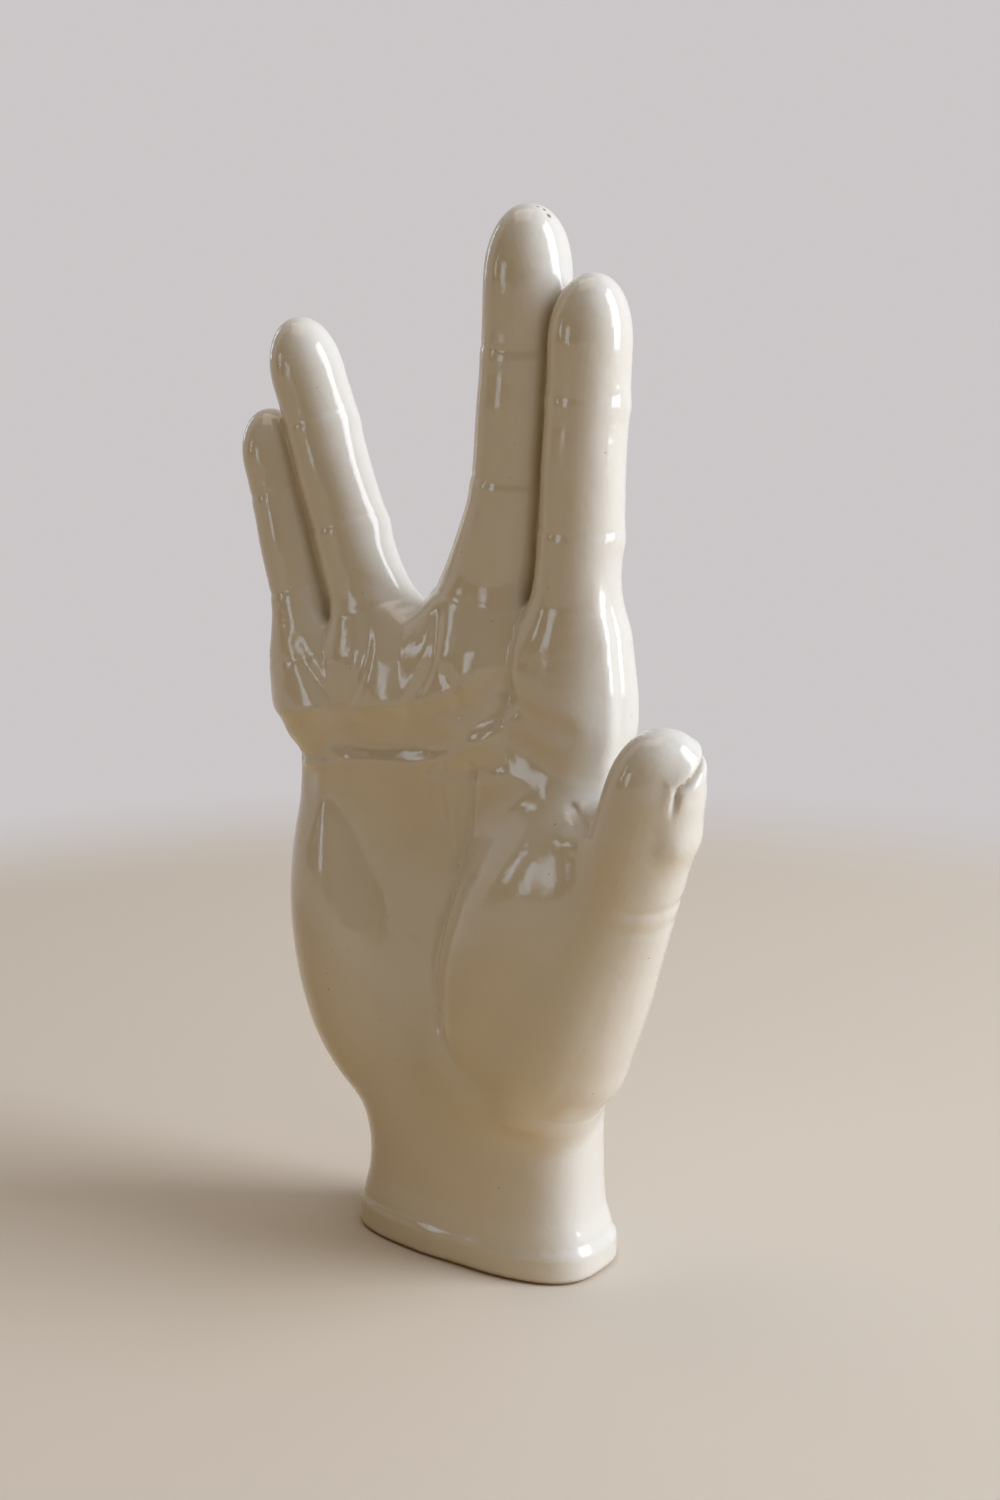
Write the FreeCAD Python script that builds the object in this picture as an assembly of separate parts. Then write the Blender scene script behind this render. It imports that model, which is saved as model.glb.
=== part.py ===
# Glazed ceramic hand standing on its wrist, palm to the front (-Y), thumb to the right (+X).
# It is made as slip-cast hollow castings, cut square at their joints and luted together with slip.
# Millimetres, +Z up, origin at the middle of the flat base.
import FreeCAD, Part
import math
import os

from FreeCAD import Vector

os.makedirs("parts", exist_ok=True)

# Driving dimensions: the casting wall and the luted joints
wall = 4.0
slip_thickness = 0.5
overrun = 5.0

# Foot ring, base slab and vent
foot_width = 66.0
foot_depth = 34.0
foot_height = 7.5
foot_bevel = 0.9
foot_shoulder = 1.8
slab_thickness = 4.0
slab_rebate = 1.6
slab_clearance = 0.2
vent_diameter = 7.0
vent_offset = 16.0

# Wrist and palm
wrist_width = 61.0
wrist_depth = 30.8
wrist_height = 20.0
palm_depth = 28.0
web_height = 152.0
little_web_drop = 14.0
ring_web_drop = 4.5
palm_tilt_deg = 9.0
palm_top_rounding = 9.0
hollow_depth = 5.0
hollow_width = 34.0
heel_rise = 6.8
heel_width = 27.0
heel_margin = 10.5
heart_line_depth = 3.0
heart_line_width = 56.0
heart_line_offset = 12.0

# Fingers: their sizes, how high the tips stand, the leans and the clefts between neighbours
index_width = 17.8
index_depth = 17.4
index_tip_height = 226.0
middle_width = 19.0
middle_depth = 18.6
middle_tip_height = 240.0
ring_width = 16.9
ring_depth = 17.0
ring_tip_height = 214.6
little_width = 14.8
little_depth = 15.2
little_tip_height = 193.4
middle_root_x = 5.2
middle_lean_deg = 4.4
middle_bow = 1.0
ring_lean_deg = 18.4
index_forward = 2.5
little_forward = 2.0
root_cleft = 2.4
tip_cleft = 0.3
parting_at_root = 36.8
lute_rise = 5.0

# Thenar mound and thumb
thenar_length = 88.0
thenar_width = 47.0
thenar_depth = 32.0
thenar_x = 18.5
thenar_y = -8.5
thenar_height = 73.5
thenar_lean_deg = 17.0
thumb_root_x = 20.0
thumb_root_y = -9.0
thumb_root_height = 46.0
thumb_tip_x = 59.0
thumb_tip_y = -14.0
thumb_tip_height = 134.6
thumb_width = 22.0
thumb_depth = 21.5
thumb_bow = 3.8
thumb_turn_deg = 55.0
thumb_lute_share = 0.65

# Counts and powers of the outlines
outline_points = 24
round_power = 2.1
palm_power = 2.4
foot_power = 2.8

# Finger rows: share of the way from the root to the tip cap, then the reach to the left, right,
# front and back as shares of the half width and half depth.
finger_shares = [
    (-0.30, 1.00, 1.00, 1.00, 1.00),
    (0.00, 1.04, 1.04, 1.02, 1.04),
    (0.18, 0.99, 0.99, 0.99, 0.99),
    (0.36, 1.01, 1.01, 0.98, 1.03),
    (0.56, 0.96, 0.96, 0.97, 0.96),
    (0.80, 0.98, 0.98, 0.96, 0.97),
    (1.00, 0.95, 0.95, 0.97, 0.90),
]
# The middle and ring fingers spread towards each other at their roots, into the parting's web.
middle_shares = [
    (-0.30, 1.40, 1.00, 1.00, 1.00),
    (0.00, 2.30, 1.02, 0.98, 0.98),
    (0.11, 1.80, 1.01, 0.98, 0.98),
    (0.22, 1.42, 1.00, 0.98, 0.99),
    (0.36, 1.12, 1.00, 0.98, 1.02),
    (0.56, 0.97, 0.98, 0.97, 0.96),
    (0.80, 0.98, 0.98, 0.96, 0.97),
    (1.00, 0.94, 0.95, 0.97, 0.90),
]
ring_shares = [
    (-0.30, 1.00, 1.20, 1.00, 1.00),
    (0.00, 1.04, 1.70, 1.00, 1.02),
    (0.09, 1.00, 1.32, 0.99, 0.99),
    (0.20, 0.99, 1.08, 0.99, 0.99),
    (0.36, 1.01, 1.01, 0.98, 1.03),
    (0.56, 0.96, 0.96, 0.97, 0.96),
    (0.80, 0.98, 0.98, 0.96, 0.97),
    (1.00, 0.95, 0.95, 0.97, 0.90),
]
thumb_shares = [
    (0.00, 0.60, 0.60, 0.60, 0.60),
    (0.12, 1.20, 1.20, 1.15, 1.24),
    (0.28, 1.28, 1.28, 1.24, 1.28),
    (0.41, 1.20, 1.18, 1.18, 1.20),
    (0.55, 1.09, 1.09, 1.09, 1.09),
    (0.68, 1.02, 1.02, 1.02, 1.02),
    (0.82, 0.99, 0.99, 1.00, 0.96),
    (0.92, 0.94, 0.94, 1.00, 0.90),
    (1.00, 0.88, 0.88, 0.96, 0.84),
]
tip_cap_share = 0.88
# The tip cap rises and narrows in these shares of its height and of the reach.
tip_cap_shares = [(0.38, 0.98), (0.74, 0.84), (1.00, 0.46), (1.00, 0.00)]

# Palm rows: share of the web height, reach to the left and right as shares of the knuckles' reach,
# reach to the front and back as shares of the half depth, then shares of tilt, hollow, heel and
# heart line, the valley that crosses the palm below the pads of the fingers.
palm_shares = [
    (0.190, 0.56, 0.86, 1.09, 1.09, 0.00, 0.00, 0.30, 0.00),
    (0.250, 0.68, 0.86, 1.10, 1.07, 0.00, 0.10, 0.55, 0.00),
    (0.316, 0.81, 0.90, 1.11, 1.04, 0.00, 0.30, 0.80, 0.00),
    (0.395, 0.92, 0.94, 1.09, 1.03, 0.00, 0.55, 1.00, 0.00),
    (0.487, 0.96, 0.94, 1.01, 1.02, 0.00, 0.80, 1.00, 0.00),
    (0.592, 0.96, 0.94, 0.91, 1.01, 0.10, 1.00, 0.90, 0.00),
    (0.684, 0.95, 0.96, 0.89, 1.00, 0.25, 1.00, 0.50, 0.00),
    (0.750, 0.95, 1.00, 0.92, 0.99, 0.45, 0.80, 0.20, 0.00),
    (0.784, 0.97, 1.04, 0.96, 0.98, 0.58, 0.35, 0.20, 0.70),
    (0.816, 1.02, 1.07, 0.99, 0.97, 0.70, 0.10, 0.30, 1.00),
    (0.846, 1.03, 1.08, 1.01, 0.95, 0.80, 0.00, 0.35, 0.35),
    (0.880, 1.03, 1.09, 0.99, 0.94, 0.90, 0.00, 0.25, 0.00),
    (0.934, 1.01, 1.06, 0.90, 0.88, 1.00, 0.00, 0.10, 0.00),
]
# Above these the palm rounds off: share of the rounding, of the reach and of the depth.
palm_top_shares = [(0.45, 0.97, 0.86), (0.80, 0.90, 0.66), (1.00, 0.78, 0.40)]

# Thenar rows: share of the mound's length, then left, right, front and back as shares.
thenar_shares = [
    (0.00, 0.00, 0.00, 0.00, 0.00),
    (0.00, 0.26, 0.40, 0.34, 0.36),
    (0.16, 0.46, 0.70, 0.74, 0.74),
    (0.32, 0.68, 0.94, 1.00, 1.00),
    (0.50, 0.88, 1.02, 1.06, 1.08),
    (0.70, 0.98, 0.92, 0.94, 1.02),
    (0.88, 1.00, 0.66, 0.74, 0.80),
    (1.00, 0.66, 0.34, 0.44, 0.40),
    (1.00, 0.00, 0.00, 0.00, 0.00),
]

up = Vector(0, 0, 1)
rearward = Vector(0, 1, 0)


def section(centre, across, outward, reach, power, relief=None):
    """A closed outline of control points; reach holds its left, right, front and back."""
    pull = 3 / (2 + math.cos(2 * math.pi / outline_points))
    left, right, front, back = reach
    points = []
    for i in range(outline_points):
        angle = 2 * math.pi * i / outline_points
        c, s = math.cos(angle), math.sin(angle)
        x = (right if c > 0 else left) * pull * math.copysign(abs(c) ** (2 / power), c)
        y = (back if s > 0 else front) * pull * math.copysign(abs(s) ** (2 / power), s)
        if relief and s < 0:
            y += relief(x) * abs(s)
        points.append(centre + across * x + outward * y)
    return points


def skin(rows):
    """A solid whose side is one smooth surface over rows of control points."""
    surface = Part.BSplineSurface()
    poles = [list(column) for column in zip(*rows)]
    around = [float(i) for i in range(outline_points + 1)]
    along = [float(i) for i in range(len(rows) - 2)]
    clamped = [4] + [1] * (len(along) - 2) + [4]
    surface.buildFromPolesMultsKnots(
        poles, [1] * len(around), clamped, around, along, True, False, 3, 3
    )
    faces = [surface.toShape()]
    for row, end in ((rows[0], along[0]), (rows[-1], along[-1])):
        if row[0] != row[1]:
            faces.append(Part.Face(Part.Wire([surface.vIso(end).toShape()])))
    shell = Part.Shell(faces)
    if len(faces) > 1:
        shell.sewShape()
    return Part.Solid(shell)


def above(solid, point, normal):
    """What stands of a solid past the plane at point, on the side that normal points to."""
    size = 2 * middle_tip_height
    block = Part.makeBox(size, size, size, Vector(-size / 2, -size / 2, 0))
    block.Placement = FreeCAD.Placement(point, FreeCAD.Rotation(up, normal))
    return solid.common(block)


def below(solid, point, normal):
    """What stands of a solid on the other side of that plane."""
    return above(solid, point, normal * -1)


def slice_at(solid, point, normal):
    """The thin slice of a solid that one layer of slip takes up at a plane."""
    return below(above(solid, point, normal), point + normal * slip_thickness, normal)


def at_height(point, axis, height):
    """Where the line through point along axis reaches a height."""
    return point + axis * ((height - point.z) / axis.z)


def leaned(degrees):
    """The upward direction of something that leans to the right by so many degrees."""
    angle = math.radians(degrees)
    return Vector(math.sin(angle), 0, math.cos(angle))


class Digit:
    """A finger or thumb: a straight or slightly bowed row of sections that ends in a rounded tip."""

    def __init__(self, root, tip, width, depth, shares, bow=0.0, outward=rearward):
        self.root = root
        self.tip = tip
        self.width = width
        self.shares = shares
        self.axis = (tip - root).normalize()
        self.outward = (outward - self.axis * outward.dot(self.axis)).normalize()
        self.across = self.outward.cross(self.axis)
        self.bow = bow
        self.halves = (width / 2, width / 2, depth / 2, depth / 2)
        self.cap = tip_cap_share * width
        self.straight = (tip - root).Length - self.cap

    def ring(self, distance, row, inset, shrink=1.0):
        share = distance / (self.straight + self.cap)
        bend = Vector(4 * self.bow * share * (1 - share), 0, 0)
        reach = [(half * size - inset) * shrink for half, size in zip(self.halves, row)]
        centre = self.root + self.axis * distance + bend
        return section(centre, self.across, self.outward, reach, round_power)

    def solid(self, inset=0.0):
        """The whole digit with its buried root, drawn in by inset all round."""
        rows = []
        for share, *row in self.shares:
            rows.append(self.ring(share * self.straight, row, inset))
        for rise, shrink in tip_cap_shares:
            rows.append(self.ring(self.straight + rise * (self.cap - inset), row, inset, shrink))
        return skin(rows)


def make_digits():
    """The four fingers and the thumb, each placed from its neighbour."""
    middle_axis = leaned(middle_lean_deg)
    middle_root = Vector(middle_root_x, 0, web_height)
    middle_tip = at_height(middle_root, middle_axis, middle_tip_height)
    middle = Digit(middle_root, middle_tip, middle_width, middle_depth, middle_shares, middle_bow)

    pair = (index_width + middle_width) / 2
    side = Vector(1, 0, 0) * (1 / math.cos(math.radians(middle_lean_deg)))
    forward = rearward * -index_forward
    index_root = middle_root + side * (pair + root_cleft) + forward
    index_top = at_height(middle_root, middle_axis, index_tip_height)
    index_tip = index_top + side * (pair * finger_shares[-1][1] + tip_cleft + middle_bow) + forward
    index = Digit(index_root, index_tip, index_width, index_depth, finger_shares)

    ring_axis = leaned(-ring_lean_deg)
    ring_root = Vector(middle_root_x - parting_at_root, 0, web_height - ring_web_drop)
    ring_tip = at_height(ring_root, ring_axis, ring_tip_height)
    ring = Digit(ring_root, ring_tip, ring_width, ring_depth, ring_shares)

    pair = (ring_width + little_width) / 2
    side = Vector(-1, 0, 0) * (1 / math.cos(math.radians(ring_lean_deg)))
    little_foot = at_height(ring_root, ring_axis, web_height - little_web_drop)
    little_root = little_foot + side * (pair + root_cleft) - rearward * little_forward
    little_top = at_height(ring_root, ring_axis, little_tip_height)
    little_tip = little_top + side * (pair * finger_shares[-1][1] + tip_cleft)
    little = Digit(little_root, little_tip, little_width, little_depth, finger_shares)

    nail_way = Vector(math.sin(math.radians(thumb_turn_deg)), math.cos(math.radians(thumb_turn_deg)), 0)
    thumb_root = Vector(thumb_root_x, thumb_root_y, thumb_root_height)
    thumb_tip = Vector(thumb_tip_x, thumb_tip_y, thumb_tip_height)
    thumb = Digit(thumb_root, thumb_tip, thumb_width, thumb_depth, thumb_shares, thumb_bow, nail_way)
    return {"index": index, "middle": middle, "ring": ring, "little": little, "thumb": thumb}


def make_palm(digits, inset=0.0):
    """The wrist and palm up to the webs, drawn in by inset; the knuckles set the width."""
    reach_left = little_width / 2 - digits["little"].root.x
    reach_right = digits["index"].root.x + index_width / 2
    across = Vector(1, 0, 0)
    rings = []
    wrist_rows = [
        (-inset, foot_width / 2 - foot_shoulder, foot_depth / 2 - foot_shoulder),
        (foot_height, foot_width / 2 - foot_shoulder, foot_depth / 2 - foot_shoulder),
        ((foot_height + wrist_height) / 2, wrist_width / 2, wrist_depth / 2),
        (wrist_height, wrist_width / 2, wrist_depth / 2),
    ]
    for height, half_width, half_depth in wrist_rows:
        reach = [half_width - inset] * 2 + [half_depth - inset] * 2
        rings.append(section(Vector(0, 0, height), across, rearward, reach, foot_power))

    def palm_ring(height, left, right, front, back, tilt, hollow, heel, line):
        angle = math.radians(palm_tilt_deg * tilt)
        middle = (right - left) / 2
        half = (right + left) / 2
        heel_x = heel_margin - half

        def relief(x):
            dish = hollow_depth * hollow * math.exp(-(2 * x / hollow_width) ** 2)
            rise = heel_rise * heel * math.exp(-(2 * (x - heel_x) / heel_width) ** 2)
            valley = math.exp(-(2 * (x + heart_line_offset) / heart_line_width) ** 4)
            return dish - rise + heart_line_depth * line * valley

        reach = [half - inset, half - inset, front - inset, back - inset]
        slope = Vector(math.cos(angle), 0, math.sin(angle))
        centre = Vector(middle, 0, height)
        return section(centre, slope, rearward, reach, palm_power, relief)

    half_depth = palm_depth / 2
    for share, left, right, front, back, tilt, hollow, heel, line in palm_shares:
        sizes = (left * reach_left, right * reach_right, front * half_depth, back * half_depth)
        rings.append(palm_ring(share * web_height, *sizes, tilt, hollow, heel, line))
    top = share * web_height
    for rise, width_share, depth_share in palm_top_shares:
        height = top + rise * (palm_top_rounding - inset)
        shares = (width_share, width_share, depth_share, depth_share)
        round_off = [size * part for size, part in zip(sizes, shares)]
        rings.append(palm_ring(height, *round_off, tilt, hollow, heel, line))
    return skin(rings)


def make_thenar(inset=0.0):
    """The mound at the root of the thumb, drawn in by inset."""
    axis = leaned(thenar_lean_deg)
    across = rearward.cross(axis)
    middle = Vector(thenar_x, thenar_y, thenar_height)
    halves = (thenar_width / 2, thenar_width / 2, thenar_depth / 2, thenar_depth / 2)
    narrow = (thenar_width - 2 * inset) / thenar_width
    rows = []
    for share, *row in thenar_shares:
        distance = (share - 1 / 2) * (thenar_length - 2 * inset)
        reach = [half * size * narrow for half, size in zip(halves, row)]
        rows.append(section(middle + axis * distance, across, rearward, reach, round_power))
    return skin(rows)


def foot_band(levels):
    """A crisp-edged block with the foot's outline at each height, half width and half depth."""
    wires = []
    for height, half_width, half_depth in levels:
        reach = [half_width] * 2 + [half_depth] * 2
        points = section(Vector(0, 0, height), Vector(1, 0, 0), rearward, reach, foot_power)
        curve = Part.BSplineCurve()
        curve.buildFromPoles(points, True, 3)
        wires.append(Part.Wire([curve.toShape()]))
    return Part.makeLoft(wires, True, True)


def make_foot_ring(cavity):
    """The flared band at the bottom, open through the middle and rebated for the slab."""
    half_width, half_depth = foot_width / 2, foot_depth / 2
    levels = [
        (0, half_width - foot_bevel, half_depth - foot_bevel),
        (foot_bevel, half_width, half_depth),
        (foot_height, half_width - foot_shoulder, half_depth - foot_shoulder),
    ]
    seat_height = slab_thickness + slip_thickness
    seat = foot_band([(height, seat_width, seat_depth) for height in (-overrun, seat_height)])
    return foot_band(levels).cut(cavity).cut(seat)


def make_base_slab():
    """The flat slab that closes the wrist, with the vent that lets the kiln's hot air out."""
    reach = (seat_width - slab_clearance, seat_depth - slab_clearance)
    slab = foot_band([(0, *reach), (slab_thickness, *reach)])
    bore = Vector(-vent_offset, 0, -overrun)
    length = slab_thickness + 2 * overrun
    return slab.cut(Part.makeCylinder(vent_diameter / 2, length, bore, up))


def make_slab_bed(cavity):
    """The slip between the top of the slab and the rebate above it."""
    reach = (seat_width - slab_clearance, seat_depth - slab_clearance)
    heights = (slab_thickness, slab_thickness + slip_thickness)
    return foot_band([(height, *reach) for height in heights]).cut(cavity)


# The rebate's half width and half depth follow the opening above it.
seat_width = foot_width / 2 - foot_shoulder - wall + slab_rebate
seat_depth = foot_depth / 2 - foot_shoulder - wall + slab_rebate

digits = make_digits()
palm_hollow = make_palm(digits, wall)
body = make_palm(digits).fuse(make_thenar())
cavity = palm_hollow.fuse(make_thenar(wall))
pieces = {}
slips = []
for name, digit in digits.items():
    is_thumb = name == "thumb"
    distance = thumb_lute_share * (digit.tip - digit.root).Length if is_thumb else lute_rise
    point, axis = digit.root + digit.axis * distance, digit.axis
    outside, inside = digit.solid(), digit.solid(wall)
    shell = outside.cut(inside)
    sleeve = above(digit.solid(-slip_thickness), point, axis)
    body = body.cut(sleeve).fuse(below(outside, point, axis))
    cavity = cavity.fuse(below(inside, point + axis * overrun, axis))
    slips.append(slice_at(shell, point, axis))
    label = name + "_casting" if is_thumb else name + "_finger_casting"
    pieces[label] = above(shell, point + axis * slip_thickness, axis)

foot_top = Vector(0, 0, foot_height)
hand = body.cut(cavity)
slips.append(slice_at(hand, foot_top, up))
slips.append(make_slab_bed(palm_hollow))
pieces["palm_casting"] = above(hand, foot_top + up * slip_thickness, up)
pieces["foot_ring"] = make_foot_ring(palm_hollow)
pieces["base_slab"] = make_base_slab()
pieces["slip_joints"] = Part.makeCompound(slips)

for name, shape in pieces.items():
    shape.exportStep("parts/" + name + ".step")
    print(name, shape.isValid(), len(shape.Solids), round(shape.Volume), shape.BoundBox)

names = list(pieces)
for i, first in enumerate(names):
    for second in names[i + 1 :]:
        gap = pieces[first].distToShape(pieces[second])[0]
        shared = pieces[first].common(pieces[second]).Volume
        if gap < wall:
            print(first, second, "gap", round(gap, 3), "shared", round(shared, 3))
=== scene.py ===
import math

import bpy
import numpy as np
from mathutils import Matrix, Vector
from mathutils.geometry import tessellate_polygon


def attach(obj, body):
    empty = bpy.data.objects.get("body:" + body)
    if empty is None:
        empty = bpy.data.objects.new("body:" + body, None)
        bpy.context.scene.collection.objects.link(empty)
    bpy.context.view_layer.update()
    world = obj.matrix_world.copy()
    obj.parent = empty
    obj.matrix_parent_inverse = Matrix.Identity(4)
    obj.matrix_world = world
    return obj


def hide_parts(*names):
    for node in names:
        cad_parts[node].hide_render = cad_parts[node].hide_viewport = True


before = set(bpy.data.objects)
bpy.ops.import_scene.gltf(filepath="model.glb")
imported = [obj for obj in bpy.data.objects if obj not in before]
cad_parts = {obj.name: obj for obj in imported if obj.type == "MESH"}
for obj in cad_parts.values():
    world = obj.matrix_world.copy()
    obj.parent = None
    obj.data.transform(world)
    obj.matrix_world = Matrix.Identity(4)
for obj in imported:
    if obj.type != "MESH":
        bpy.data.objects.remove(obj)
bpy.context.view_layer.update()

# The camera stands at about fingertip height, to the right of the palm, and looks a little down.
looks_down, turned_right = 13.5, 35
camera_data = bpy.data.cameras.new("camera")
camera_data.lens = 52.8
camera_data.clip_start = 0.02
camera = bpy.data.objects.new("camera", camera_data)
camera.location = (0.2809, -0.3954, 0.2361)
camera.rotation_euler = (math.radians(90 - looks_down), 0, math.radians(turned_right))
bpy.context.scene.collection.objects.link(camera)
bpy.context.scene.camera = camera

# The foot ring: the flared band of white clay that the hand stands on, luted under the wrist. It
# was pressed on by hand, so it bulges unevenly, its lower edge is rounded off, and the base slab
# is let into it from below. Here and in the next sections sizes are in millimetres.
foot_height = 7.5
foot_bulge_sideways = 2.1
foot_bulge_to_front = 1.4
foot_edge = 0.9
seat_half_width = 28.8
seat_half_depth = 12.8
seat_height = 4.3
seat_roundness = 2.8


def ease(low, high, x):
    """Rises smoothly from 0 at low to 1 at high."""
    t = np.clip((x - low) / (high - low), 0, 1)
    return t * t * (3 - 2 * t)


def foot_swell(x, y, z):
    """How much wider and deeper the foot is than the wrist, and what its rounded edge takes off."""
    flare = 0.55 * ease(15, 7.0, z) + 0.45 * ease(8.6, 5.8, z)
    angle = np.arctan2(y, x)
    uneven = 0.22 * np.sin(3 * angle + 0.6) + 0.15 * np.sin(7 * angle + 2.1)
    wider = flare * (foot_bulge_sideways + uneven)
    deeper = flare * (foot_bulge_to_front + 0.6 * uneven)
    return wider, deeper, foot_edge * np.clip(1 - z / foot_edge, 0, 1.5)


def seat_field(x, y, z):
    """The room that the base slab sits in, less than 0 inside."""
    near = np.abs(x / seat_half_width) ** seat_roundness + np.abs(y / seat_half_depth) ** seat_roundness
    seat = near ** (1 / seat_roundness) - 1
    return np.maximum(seat * seat_half_depth, z - seat_height)


# The palm and wrist: one slip-cast hollow of white clay, thick in the middle, that the foot ring
# and the digits are luted to. Its front carries the pads, the lines and the two muscle mounds of
# a real hand, softened by the glaze, and its back the knuckles and tendons.
def softened(places, values, spread, count=400):
    """Columns of values at places, made into a fine smooth table."""
    places = np.array(places, float)
    fine = np.linspace(places[0], places[-1], count)
    step = fine[1] - fine[0]
    half = max(int(3 * spread / step), 1)
    kernel = np.exp(-0.5 * (np.arange(-half, half + 1) * step / spread) ** 2)
    kernel /= kernel.sum()
    columns = []
    for column in np.array(values, float).T:
        line = np.interp(fine, places, column)
        padded = np.concatenate([np.full(half, line[0]), line, np.full(half, line[-1])])
        columns.append(np.convolve(padded, kernel, "valid"))
    return fine, columns


# Height, left edge, right edge, front and back of the wrist and palm.
palm_rows = [
    (-4, -30.6, 30.6, 15.4, 15.4),
    (10, -30.5, 30.5, 15.3, 15.3),
    (22, -30.2, 29.9, 15.2, 15.2),
    (29, -32.0, 29.9, 15.2, 15.2),
    (38, -39.4, 30.4, 15.3, 15.0),
    (48, -46.8, 31.6, 15.2, 14.6),
    (60, -51.4, 32.6, 14.6, 14.4),
    (74, -53.4, 32.8, 13.6, 14.2),
    (90, -53.9, 32.8, 12.2, 14.0),
    (104, -53.0, 33.5, 11.8, 13.9),
    (111, -52.4, 35.3, 12.0, 13.8),
    (115, -52.2, 37.0, 12.4, 13.7),
    (118, -53.8, 38.0, 12.8, 13.6),
    (122, -56.3, 38.8, 13.2, 13.4),
    (128, -57.4, 38.7, 13.2, 13.0),
    (134, -57.5, 37.2, 12.6, 12.4),
    (144, -56.2, 32.2, 10.6, 10.4),
    (154, -52.8, 29.0, 8.6, 8.6),
]
palm_fine, palm_columns = softened([r[0] for r in palm_rows], [r[1:] for r in palm_rows], spread=1.8)
palm_top = 141.0
palm_top_rounding = 9.5
palm_top_dome = 2.2
# Higher up, the palm falls away from the index finger to the little finger.
palm_tilt = math.tan(math.radians(9))
tilt_middle = -9.0
tilt_from, tilt_to = 84, 142


def bump(x, z, centre, size):
    """A soft round rise of height 1 at centre, as wide and tall as size."""
    return np.exp(-(((x - centre[0]) / size[0]) ** 2) - ((z - centre[1]) / size[1]) ** 2)


def rounded(points, rounds=3):
    """A drawn line with its corners cut off again and again until it is smooth."""
    points = [tuple(map(float, p)) for p in points]
    for _ in range(rounds):
        cut = [points[0]]
        for (x0, z0), (x1, z1) in zip(points[:-1], points[1:]):
            cut.append((0.75 * x0 + 0.25 * x1, 0.75 * z0 + 0.25 * z1))
            cut.append((0.25 * x0 + 0.75 * x1, 0.25 * z0 + 0.75 * z1))
        points = cut + [points[-1]]
    return points


def stroke(x, z, points, width, power=2):
    """1 on a line drawn through points, 0 far from it; a higher power is flatter, then steeper."""
    nearest = np.full(x.shape, np.inf)
    for (x0, z0), (x1, z1) in zip(points[:-1], points[1:]):
        dx, dz = x1 - x0, z1 - z0
        t = np.clip(((x - x0) * dx + (z - z0) * dz) / (dx * dx + dz * dz), 0, 1)
        nearest = np.minimum(nearest, (x - x0 - t * dx) ** 2 + (z - z0 - t * dz) ** 2)
    return np.exp(-((np.sqrt(nearest) / width) ** power))


# The lines of the palm, as places across and up.
heart_line = rounded(
    [(-60, 117), (-45, 119), (-32, 121.5), (-15, 123), (-3, 126), (6, 131.5), (11, 135)]
)
heart_line_banks = [
    (rounded([(-48, 114.5), (-34, 116.5), (-15, 116.5), (-4, 117), (3.5, 122), (11, 128)]), 0.2),
    (rounded([(-44, 125), (-31, 128), (-15, 130.5), (-2, 134.5), (4, 136)]), 0.35),
]
head_line = rounded([(13, 121), (8, 119), (2, 116.5), (-8, 116)])
thenar_line = rounded(
    [(4, 118), (3, 107), (0.5, 98), (-1.8, 87), (-3.8, 76), (-3.6, 66), (-1, 57), (5, 50), (14, 45.5)]
)
web_fold = rounded([(32.4, 114.2), (34.5, 112.6), (36.5, 112.0), (39.5, 111.4)])
heel_ridge = rounded([(-37, 116), (-40.7, 107), (-38.9, 99), (-36, 90), (-33.8, 80), (-31.6, 68)])
index_channel = rounded([(12.5, 149), (12.5, 141), (15, 135.5), (22, 132), (30, 130.5)])
pad_valleys = [
    rounded([(-46, 141), (-41, 134), (-35, 129), (-31, 125)]),
    rounded([(-27, 149), (-24, 141), (-27, 133), (-30, 128)]),
    rounded([(-6, 151), (-5, 143), (-8, 136), (-12, 130)]),
    rounded([(-1, 139), (2, 135), (2, 131)]),
]
wrinkles = [
    rounded([(-3, 118), (-5, 112), (-4, 105)]),
    rounded([(-8, 116), (-9, 110)]),
    rounded([(1, 113), (-1, 106), (-1.5, 100)]),
    rounded([(-50, 112), (-44, 114.5), (-36, 115)]),
]
# The pads from the little finger's to the index finger's: centre, size and how far each rises.
pads = [
    ((-46, 126), (8, 8), 1.5),
    ((-38, 127), (5, 5), 0.5),
    ((-19, 133), (9, 8.5), 1.6),
    ((5, 140), (8, 8), 1.4),
    ((26, 140), (10, 15), 0.8),
    ((29.0, 121), (8, 14), 2.9),
]
palm_hollow_centre, palm_hollow_size = (-17, 92), (15, 28)
thenar_top_centre, thenar_top_size = (19, 111), (12, 11)
facet_centre, facet_size = (20.7, 121), (9, 8)


def thenar_facet(x, z):
    """What is pressed off the top of the thumb's mound to leave it flatter there."""
    right, above = x - facet_centre[0], z - facet_centre[1]
    slope = 0.24 * above + 0.015 * above**2 + 0.10 * right
    return slope * bump(x, z, facet_centre, facet_size)


def front_height(x, z):
    """The pads under the fingers, and the lines and hollows between them."""
    height = -3.4 * bump(x, z, palm_hollow_centre, palm_hollow_size)
    height += 2.1 * bump(x, z, thenar_top_centre, thenar_top_size)
    height += 0.9 * stroke(x, z, heel_ridge, width=3.4)
    for centre, size, rise in pads:
        height += rise * bump(x, z, centre, size)
    height -= thenar_facet(x, z)
    for line in pad_valleys:
        height -= 0.8 * stroke(x, z, line, width=1.9)
    for line in wrinkles:
        height -= 0.35 * stroke(x, z, line, width=0.9)
    height -= 1.3 * stroke(x, z, index_channel, width=2.8)
    height -= 0.6 * stroke(x, z, head_line, width=1.6)
    height -= 2.0 * stroke(x, z, heart_line, width=5.2, power=4)
    for line, rise in heart_line_banks:
        height += rise * stroke(x, z, line, width=1.9)
    return height


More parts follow.
